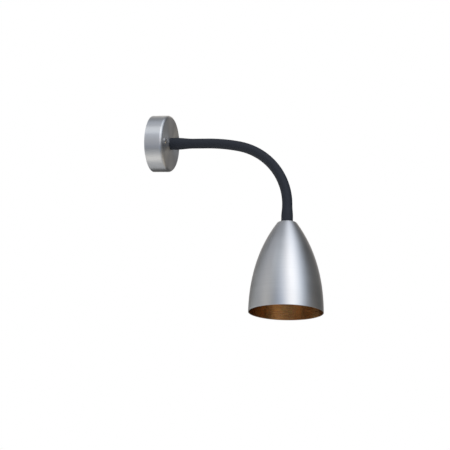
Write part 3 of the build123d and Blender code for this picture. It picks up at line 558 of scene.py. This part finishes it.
def screw_mesh(name, centres, columns=72):
    """Pan-head screws at (x, z) centres on the canopy's face, the shank towards the wall."""
    share = np.linspace(0, 1, DOME_ROWS)
    fall = HEAD_DOME_SHARE * share**HEAD_DOME_POWER
    dome = np.stack([share * SCREW_HEAD_RADIUS, SCREW_HEAD_HEIGHT * (1 - fall)], axis=-1)
    side = line(dome[-1], (SCREW_HEAD_RADIUS, 0), 3)[1:]
    below = np.concatenate([
        line((SCREW_HEAD_RADIUS, 0), (SCREW_RADIUS, 0), 2)[1:],
        line((SCREW_RADIUS, 0), (SCREW_RADIUS, -SCREW_LENGTH), 4)[1:],
        line((SCREW_RADIUS, -SCREW_LENGTH), (0, -SCREW_LENGTH), 2)[1:],
    ])
    outline = np.concatenate([dome, side, below])

    def press_cross(radius, height, angle):
        """The height less the cross: a smooth step on the distance to the nearer centre line."""
        x, y = np.abs(radius * np.cos(angle)), np.abs(radius * np.sin(angle))
        near = np.clip((BLADE_WIDTH / 2 - np.minimum(x, y)) / RECESS_SLOPE + 0.5, 0, 1)
        inside = np.clip((BLADE_REACH - np.maximum(x, y)) / RECESS_END_SLOPE + 0.5, 0, 1)
        head = np.arange(radius.shape[0])[:, None] < len(dome)
        return radius, height - head * RECESS_DEPTH * near * inside

    screws = []
    for x, z in centres:
        def on_face(height, radius, angle, centre=(x, 0, z)):
            """The screw's own axis, moved from the canopy's axis to the screw's centre."""
            turned = angle + SCREW_LINE_TILT + CROSS_TURN
            return around_canopy(CANOPY_DEPTH + height, radius, turned) + np.array(centre)
        screws.append(turned_mesh(name, outline, on_face, columns, ripple=press_cross))
    work = bmesh.new()
    for mesh in screws:
        work.from_mesh(mesh)
    work.to_mesh(screws[0])
    work.free()
    return screws[0]


tilt = np.array([math.cos(SCREW_LINE_TILT), math.sin(SCREW_LINE_TILT)])
spots = [side * SCREW_CIRCLE_RADIUS * tilt for side in (-1, 1)]
screws = screw_mesh("canopy_screw_pair", spots)
new_piece(
    "canopy_screw_pair", screws, FINISHES["screw_steel"], "wall_mount", ["canopy_screws"])

# %% [markdown]
# ## The sleeve over the gooseneck
# The sleeve is one soft tube on the real arm. A curve with a bevel would draw it at rest, but it couldn't
# follow the gooseneck. Here the tube is cut between the pivots of the gooseneck, into one length for each
# pivot. At both ends the tube is wider, because it is pulled over the ferrule, and it narrows in a soft S.

# %% Sleeve lengths
SLEEVE_RADIUS = 6.1 * MM
SLEEVE_WALL = 0.7 * MM
WALL_END_RADIUS = 7.4 * MM
SHADE_END_RADIUS = 6.95 * MM
END_ROUNDING = 0.5 * MM
WALL_TAPER = (8.0 * MM, 29.0 * MM)
SHADE_TAPER = (7.0 * MM, 21.5 * MM)
END_SHARE = 0.001
ROW_LENGTH = 0.8 * MM
LEAST_ROWS = 14
FERRULE_TO_BEND = 2.5 * MM
BEND_TO_FERRULE = 1.8 * MM


def sleeve_radius(distance):
    """The outer radius: plain, plus a soft S over each ferrule, less a quarter round at both open ends."""
    from_shade = ARM_LENGTH - distance
    radius = SLEEVE_RADIUS + (WALL_END_RADIUS - SLEEVE_RADIUS) * (1 - ease(distance, *WALL_TAPER))
    radius = radius + (SHADE_END_RADIUS - SLEEVE_RADIUS) * (1 - ease(from_shade, *SHADE_TAPER))
    end = np.clip(np.minimum(distance, from_shade) / END_ROUNDING, 0, 1)
    return radius - END_ROUNDING * (1 - np.sqrt(1 - (1 - end) ** 2))


def sleeve_mesh(name, start, end, columns=96):
    """A closed tube between two distances: the outline runs along the outside and back along the inside."""
    steps = max(LEAST_ROWS, int((end - start) / ROW_LENGTH))
    even = np.linspace(0, 1, steps)[1:-1]
    at_open_end = start == 0 or end == ARM_LENGTH
    rows = swell(np.pi * even) if at_open_end else even
    out = start + (end - start) * np.concatenate([[0, END_SHARE], rows, [1 - END_SHARE, 1]])
    distance = np.concatenate([out, out[::-1]])
    radius = sleeve_radius(distance)
    radius[len(out):] -= SLEEVE_WALL
    angle = np.linspace(0, 2 * np.pi, columns, endpoint=False)
    s, a = np.meshgrid(distance, angle, indexing="ij")
    points = around_arm(s, np.repeat(radius[:, None], columns, axis=1), a)
    return grid_mesh(name, points, distance)


cuts = np.concatenate([[0.0], (PIVOTS[1:] + PIVOTS[:-1]) / 2, [ARM_LENGTH]])
bend_starts = np.concatenate([[FIRST_PIVOT - FERRULE_TO_BEND], cuts[1:-1]])
bend_ends = np.concatenate([cuts[1:-1], [LAST_PIVOT + BEND_TO_FERRULE]])
for i in range(PIVOT_COUNT):
    name = f"sleeve_length_{i + 1:02d}"
    sleeve = new_piece(name, sleeve_mesh(name, cuts[i], cuts[i + 1]), sleeve_cloth)
    arm_point(bend_starts[i])
    arm_point(bend_ends[i])
    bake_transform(sleeve)
    last = [f"sleeve_section_{i + 2:02d}"] if i == PIVOT_COUNT - 1 else []
    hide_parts(f"sleeve_section_{i + 1:02d}", *last)

# %% [markdown]
# ## The shade
# The shade is spun from thin sheet over a former. Its outside is an ogive: the radius falls from the mouth
# with the square of the height and, a little more towards the neck, with the fourth power. The top edge is
# rolled round. A few rings under a subdivision surface would come close, but this formula is the solid's
# own. The gold inside is lacquer, so it is its own layer, and it stops just short of the bare rim.

# %% Shade
RIM_BARE = 0.1 * MM
LACQUER = 0.6 * MM
LACQUER_OVERLAP = 0.1
ABOVE_TOP = 2 * MM
BELOW_MOUTH = 1 * MM
CURVE_ROWS = 1200
SHADE_ROWS = 90
TOP_EDGE_STEPS = 12


def shade_curve(depth):
    """Radius at a depth below the top: mouth radius less a mix of second and fourth power of the height."""
    rise = 1 - depth / SHADE_HEIGHT
    shape = (1 - SHADE_TIGHTENING) * rise**2 + SHADE_TIGHTENING * rise**4
    return SHADE_MOUTH_RADIUS - (SHADE_MOUTH_RADIUS - SHADE_NECK_RADIUS) * shape


def inset_curve(inset, depth):
    """The curve moved inwards along its own normal (1, -slope) of unit length, as (radius, depth) rows."""
    slope = np.gradient(shade_curve(depth), depth)
    steep = np.hypot(1, slope)
    return np.stack([shade_curve(depth) - inset / steep, depth + inset * slope / steep], axis=-1)


def shade_side(inset, edge_radius, bottom):
    """The inset curve down to the bottom, after an arc that touches it and the flat top: the arc's centre
    lies inset plus edge radius below the top and as far inside the outer curve."""
    depth = np.linspace(-ABOVE_TOP, SHADE_HEIGHT + BELOW_MOUTH, CURVE_ROWS)
    middle = inset_curve(inset + edge_radius, depth)
    touch = np.interp(inset + edge_radius, middle[:, 1], depth)
    centre = np.array([np.interp(touch, depth, middle[:, 0]), inset + edge_radius])
    side = inset_curve(inset, np.linspace(touch, SHADE_HEIGHT + BELOW_MOUTH, 4 * SHADE_ROWS))
    side = side[side[:, 1] < bottom]
    picks = np.linspace(0, len(side) - 1, SHADE_ROWS).astype(int)
    radii, depths = inset_curve(inset, depth).T
    side = np.concatenate([side[picks], [[np.interp(bottom, depths, radii), bottom]]])
    away = side[0] - centre
    edge = arc(centre, edge_radius, -90, math.degrees(math.atan2(away[1], away[0])), TOP_EDGE_STEPS)
    return np.concatenate([edge, side[1:]])


mouth = SHADE_HEIGHT - RIM_BARE
core = SHADE_WALL - LACQUER
overlap = SHADE_WALL - LACQUER * (1 - LACQUER_OVERLAP)
outer = shade_side(0.0, SHADE_TOP_EDGE_RADIUS, SHADE_HEIGHT)
middle = shade_side(core, SHADE_TOP_EDGE_RADIUS - core, SHADE_HEIGHT)
inner = shade_side(SHADE_WALL, SHADE_TOP_EDGE_RADIUS - SHADE_WALL, mouth)
under = shade_side(overlap, SHADE_TOP_EDGE_RADIUS - core, mouth)
hole = NIPPLE_HOLE_RADIUS
shell_outline = np.concatenate([
    line((hole, 0), outer[0], 4)[:-1], outer[:-1], line(outer[-1], middle[-1], 2), middle[::-1][1:],
    line(middle[0], (hole, core), 4)[1:],
])
lining_outline = np.concatenate([
    line((hole, under[0][1]), under[0], 4)[:-1], under[:-1], line(under[-1], inner[-1], 2), inner[::-1][1:],
    line(inner[0], (hole, SHADE_WALL), 4)[1:],
])
shell = turned_mesh("shade_shell", shell_outline, around_shade, columns=256)
new_piece("shade_shell", shell, spun_aluminium, "shade_head", ["shade"])
lining = turned_mesh("shade_lining", lining_outline, around_shade, columns=256)
new_piece("shade_lining", lining, gold_lacquer, "shade_head")

# %% [markdown]
# ## The lamp
# The lamp is a reflector lamp of the twist-lock kind. Its body flares in an arc from the base to the rim and
# is fluted, which cools it. Ribs could be copied round the axis, but then they would only touch the body.
# Here the flutes are a wave round the axis, raised to a power so that the ridges stay narrow, and the body
# stays one closed surface.

# %% Lamp body
SHOULDER_RADIUS = 13.5 * MM
RIM_LENGTH = 7.0 * MM
RECESS = 2.1 * MM
LENS_RADIUS = 23.4 * MM
LENS_CLEARANCE = 0.2 * MM
FLUTES = 40
FLUTE_DEPTH = 0.7 * MM
FLUTE_POWER = 0.5
FLUTE_LEAST_RADIUS = 1.02 * SHOULDER_RADIUS
FLUTES_BEGIN = 1 * MM
FLUTES_FULL = 6 * MM
FLUTES_END = 5 * MM

bowl_top = LAMP_TOP + LAMP_BASE_LENGTH
rim_top = LAMP_BOTTOM - RIM_LENGTH
rise, reach = rim_top - bowl_top, LAMP_RADIUS - SHOULDER_RADIUS
bowl_radius = (rise**2 + reach**2) / (2 * reach)
sweep = math.degrees(math.asin(rise / bowl_radius))
flare = arc((LAMP_RADIUS - bowl_radius, rim_top), bowl_radius, -sweep, 0, 26)
seat_radius = LENS_RADIUS + LENS_CLEARANCE
body_outline = np.concatenate([
    line((0, bowl_top), flare[0], 3), flare[1:],
    line((LAMP_RADIUS, rim_top), (LAMP_RADIUS, LAMP_BOTTOM), 6)[1:],
    line((LAMP_RADIUS, LAMP_BOTTOM), (seat_radius, LAMP_BOTTOM), 2)[1:],
    line((seat_radius, LAMP_BOTTOM), (seat_radius, LAMP_BOTTOM - RECESS), 3)[1:],
    line((seat_radius, LAMP_BOTTOM - RECESS), (0, LAMP_BOTTOM - RECESS), 3)[1:],
])


def flute(radius, depth, angle):
    """The radius less a wave round the axis to a power, fading out towards base and rim."""
    fade_in = ease(depth, bowl_top + FLUTES_BEGIN, bowl_top + FLUTES_FULL)
    fade = fade_in * (1 - ease(depth, rim_top - FLUTES_END, rim_top))
    outside = radius > FLUTE_LEAST_RADIUS
    valley = swell(FLUTES * angle) ** FLUTE_POWER
    return radius - outside * fade * FLUTE_DEPTH * valley, depth


body_mesh = turned_mesh("lamp_body", body_outline, around_shade, columns=320, ripple=flute)
new_piece("lamp_body", body_mesh, FINISHES["lamp_white"], "lamp", ["lamp_housing"])

# %% [markdown]
# The lens is a disc that lies a little inside the rim, with rings of small bumps that spread the light. The
# bumps are real height, so they keep their shape at a flat angle, where a bump in the finish looks flat.

# %% Lamp lens
LENS_SINK = 0.5 * MM
LENS_THICKNESS = 1.6 * MM
LENS_ROWS = 88
LENS_RIM = 0.8 * MM
RING_PITCH = 2.05 * MM
BUMPS_ROUND = 48
BUMP_HEIGHT = 0.25 * MM
BUMP_SHARE = 0.4

lens_bottom = LAMP_BOTTOM - LENS_SINK
lens_top = lens_bottom - LENS_THICKNESS
lens_outline = np.concatenate([
    line((0, lens_top), (LENS_RADIUS, lens_top), 2),
    line((LENS_RADIUS, lens_top), (LENS_RADIUS, lens_bottom), 2)[1:],
    line((LENS_RADIUS, lens_bottom), (0, lens_bottom), LENS_ROWS)[1:],
])


def pebble(radius, depth, angle):
    """The lens's face plus rings of bumps: a wave along the radius times a weaker wave round the ring."""
    rings = swell(2 * np.pi * radius / RING_PITCH)
    round_ring = 1 - BUMP_SHARE * swell(BUMPS_ROUND * angle) * np.minimum(radius / LENS_RADIUS, 1)
    face = (depth > lens_top + 0.9 * LENS_THICKNESS) & (radius < LENS_RADIUS - LENS_RIM)
    return radius, depth + face * BUMP_HEIGHT * rings * round_ring


lens_mesh = turned_mesh("lamp_front", lens_outline, around_shade, columns=288, ripple=pebble)
new_piece("lamp_front", lens_mesh, lens_finish, "lamp", ["lamp_lens"])

# %% [markdown]
# The cap above the body is the lamp's twist-lock base, a short cone with a rounded top edge. Its two pins
# are plain turned solids already, so they stay as they are.

# %% Lamp base
CAP_TOP_RADIUS = 9.0 * MM
CAP_BOTTOM_RADIUS = 11.5 * MM
CAP_EDGE_RADIUS = 0.6 * MM
CAP_CONE_START = 0.7 * MM

flat_radius = CAP_TOP_RADIUS - CAP_EDGE_RADIUS
cap_outline = np.concatenate([
    line((0, LAMP_TOP), (flat_radius, LAMP_TOP), 2),
    arc((flat_radius, LAMP_TOP + CAP_EDGE_RADIUS), CAP_EDGE_RADIUS, -90, -8, 5)[1:],
    line((CAP_TOP_RADIUS, LAMP_TOP + CAP_CONE_START), (CAP_BOTTOM_RADIUS, bowl_top), 5)[1:],
    line((CAP_BOTTOM_RADIUS, bowl_top), (0, bowl_top), 2)[1:],
])
cap_mesh = turned_mesh("lamp_cap", cap_outline, around_shade, columns=128)
new_piece("lamp_cap", cap_mesh, FINISHES["lamp_white"], "lamp", ["lamp_base"])

# %% [markdown]
# ## Floor, light and camera
# The wall light hangs in a plain pale studio, high over a round floor, which sends a soft light back up.
# The floor is one flat face with many corners. It belongs to the stage and isn't a piece of the wall light.

# %% Floor
FLOOR_HEIGHT = -0.8
FLOOR_RADIUS = 1.0
FLOOR_CORNERS = 96

floor_mesh = bpy.data.meshes.new("floor")
turn = np.linspace(0, 2 * np.pi, FLOOR_CORNERS, endpoint=False)
floor_rim = np.stack(
    [FLOOR_RADIUS * np.cos(turn), FLOOR_RADIUS * np.sin(turn), FLOOR_HEIGHT + 0 * turn], axis=-1)
floor_mesh.from_pydata(floor_rim, [], [list(range(FLOOR_CORNERS))])
floor = bpy.data.objects.new("floor", floor_mesh)
bpy.context.scene.collection.objects.link(floor)
floor_finish = plain_finish(
    "pale_floor", (0.8, 0.79, 0.77), (0.84, 0.83, 0.81), (0.7, 0.8), 50 * MM, 0.1 * MM)
floor_mesh.materials.append(floor_finish)
print(f"floor {2 * FLOOR_RADIUS:.1f} m across, {-FLOOR_HEIGHT:.1f} m below the wall light")

# %% [markdown]
# The studio's air is a dim grey with soft glows in it, such as paper screens with a lamp behind them make.
# A picture of a real room could light the metal too, but glows are a short list that can be changed one by
# one. Their directions and strengths, and the strength of the grey, weren't set by eye: a program fitted
# them to the bands of light and dark on the metal in the photograph, and they were rounded. Each glow is a
# bell over the directions: its colour times e to the power of GLOW_TIGHTNESS times (the cosine of the angle
# to its middle, less one). The camera sees plain white behind the wall light, and only the surfaces see the
# glows.

# %% World
GLOW_TIGHTNESS = 14.0
ROOM = (0.11, 0.11, 0.11)
BACKDROP = (1.0, 1.0, 1.0)
GLOWS = [
    (165, -29, (2.86, 2.86, 2.72)),
    (-68, 38, (1.80, 1.71, 1.60)),
    (-55, 4, (1.60, 1.48, 1.38)),
    (-48, 70, (1.30, 1.39, 1.55)),
    (22, -31, (1.10, 0.93, 0.68)),
    (102, 30, (0.97, 0.89, 0.81)),
    (-35, 24, (0.82, 0.96, 1.14)),
    (-140, 8, (0.70, 0.66, 0.60)),
    (-100, -25, (0.52, 0.55, 0.63)),
    (-153, 45, (0.43, 0.45, 0.50)),
    (122, 52, (0.40, 0.40, 0.39)),
    (-88, 15, (0.26, 0.37, 0.56)),
    (-173, 20, (0.27, 0.28, 0.30)),
    (-43, -30, (0.06, 0.16, 0.30)),
]


def direction(azimuth, elevation):
    """The unit vector towards a place: azimuth from the room (-y) towards +x, elevation up, in degrees."""
    turn, rise = math.radians(azimuth), math.radians(elevation)
    return np.array([math.sin(turn) * math.cos(rise), -math.cos(turn) * math.cos(rise), math.sin(rise)])


world = bpy.data.worlds.new("studio")
bpy.context.scene.world = world
world.use_nodes = True
world.node_tree.nodes.clear()

towards = add(world, "ShaderNodeTexCoord").outputs["Generated"]
total = add(world, "ShaderNodeCombineXYZ", dict(enumerate(ROOM))).outputs["Vector"]
for azimuth, elevation, colour in GLOWS:
    middle_way = tuple(direction(azimuth, elevation))
    cosine = add(world, "ShaderNodeVectorMath", {0: towards, 1: middle_way}, operation="DOT_PRODUCT")
    less_one = {0: cosine.outputs["Value"], 1: GLOW_TIGHTNESS, 2: -GLOW_TIGHTNESS}
    power = add(world, "ShaderNodeMath", less_one, operation="MULTIPLY_ADD").outputs["Value"]
    bell = add(world, "ShaderNodeMath", {0: power}, operation="EXPONENT").outputs["Value"]
    glow = add(world, "ShaderNodeVectorMath", {0: colour, "Scale": bell}, operation="SCALE")
    total = add(world, "ShaderNodeVectorMath", {0: total, 1: glow.outputs["Vector"]}, operation="ADD")
    total = total.outputs["Vector"]

paths = add(world, "ShaderNodeLightPath")
straight = {0: paths.outputs["Is Camera Ray"], 1: paths.outputs["Is Transmission Ray"]}
seen = add(world, "ShaderNodeMath", straight, operation="MAXIMUM").outputs["Value"]
either = {"Factor": seen, MIX_A: total, MIX_B: rgba(BACKDROP)}
tone = add(world, "ShaderNodeMix", either, data_type="RGBA").outputs[MIX_RESULT]
background = add(world, "ShaderNodeBackground", {"Color": tone}).outputs["Background"]
add(world, "ShaderNodeOutputWorld", {"Surface": background})
print(f"{len(GLOWS)} glows round the object")

# %% [markdown]
# A soft box is an area lamp: its size sets how wide its reflection is on the metal, and its power over its
# area sets how bright that reflection is. Lamps and camera look along their own -z axis, so each is turned
# until its z axis points back from the object.

# %% Lamps of the studio
MIDDLE = np.array([0.0, -0.115, -0.085])


def axes(azimuth, elevation):
    """Right, up and back of a lamp or camera that looks at the object from a direction in degrees."""
    back = direction(azimuth, elevation)
    right = direction(azimuth + 90, 0)
    return right, np.cross(back, right), back


def stand(holder, right, up, back, place):
    """Gives a lamp or camera its three axes and its place: they are the columns of its matrix."""
    columns = np.array([right, up, back, place])
    holder.matrix_world = Matrix([*columns.T, (0, 0, 0, 1)])


def soft_box(name, azimuth, elevation, distance, width, height, power, colour):
    """An area lamp at a distance from the object's middle, in a direction in degrees, aimed at it."""
    lamp = bpy.data.lights.new(name, "AREA")
    lamp.shape = "RECTANGLE"
    lamp.size, lamp.size_y = width, height
    lamp.energy = power
    lamp.color = colour
    holder = bpy.data.objects.new(name, lamp)
    bpy.context.scene.collection.objects.link(holder)
    right, up, back = axes(azimuth, elevation)
    stand(holder, right, up, back, MIDDLE + distance * back)
    print(f"{name}: {power} W over {width} by {height} m")


soft_box("wall_side_box", -111, 38, 1.2, 0.8, 0.6, 0.8, (0.90, 0.96, 1.0))
soft_box("low_box", -144, -69, 0.6, 0.4, 0.4, 0.35, (1.0, 0.93, 0.80))

# %% [markdown]
# The camera stands on the room's left, below the wall light, and looks up at it with a slight roll. A
# constraint could keep it aimed at an object, but here the picture's middle is a place in the air. The shift
# says how far the wall's origin lies from that place, to the right and up.

# %% Camera
CAMERA_AZIMUTH = -72.86
CAMERA_ELEVATION = -15.8
CAMERA_ROLL = math.radians(5.59)
CAMERA_DISTANCE = 1.300
CAMERA_SHIFT = (-88.57 * MM, 101.24 * MM)
FOCAL_PIXELS = 1040.0
IMAGE_PIXELS = 450
SENSOR_WIDTH = 36.0


def place_camera():
    """Rolls the axes, puts the target off the wall's origin by the shift and steps back by the distance."""
    right, up, back = axes(CAMERA_AZIMUTH, CAMERA_ELEVATION)
    cosine, sine = math.cos(CAMERA_ROLL), math.sin(CAMERA_ROLL)
    right, up = right * cosine + up * sine, up * cosine - right * sine
    target = -(right * CAMERA_SHIFT[0] + up * CAMERA_SHIFT[1])
    place = target + back * CAMERA_DISTANCE
    lens = bpy.data.cameras.new("camera")
    lens.sensor_width = SENSOR_WIDTH
    lens.lens = FOCAL_PIXELS * SENSOR_WIDTH / IMAGE_PIXELS
    lens.clip_start = 0.01
    camera = bpy.data.objects.new("camera", lens)
    bpy.context.scene.collection.objects.link(camera)
    stand(camera, right, up, back, place)
    print(f"camera at {np.round(place, 3)} with a {lens.lens:.1f} mm lens")
    return camera


bpy.context.scene.camera = place_camera()
bpy.context.scene.view_settings.view_transform = "Standard"
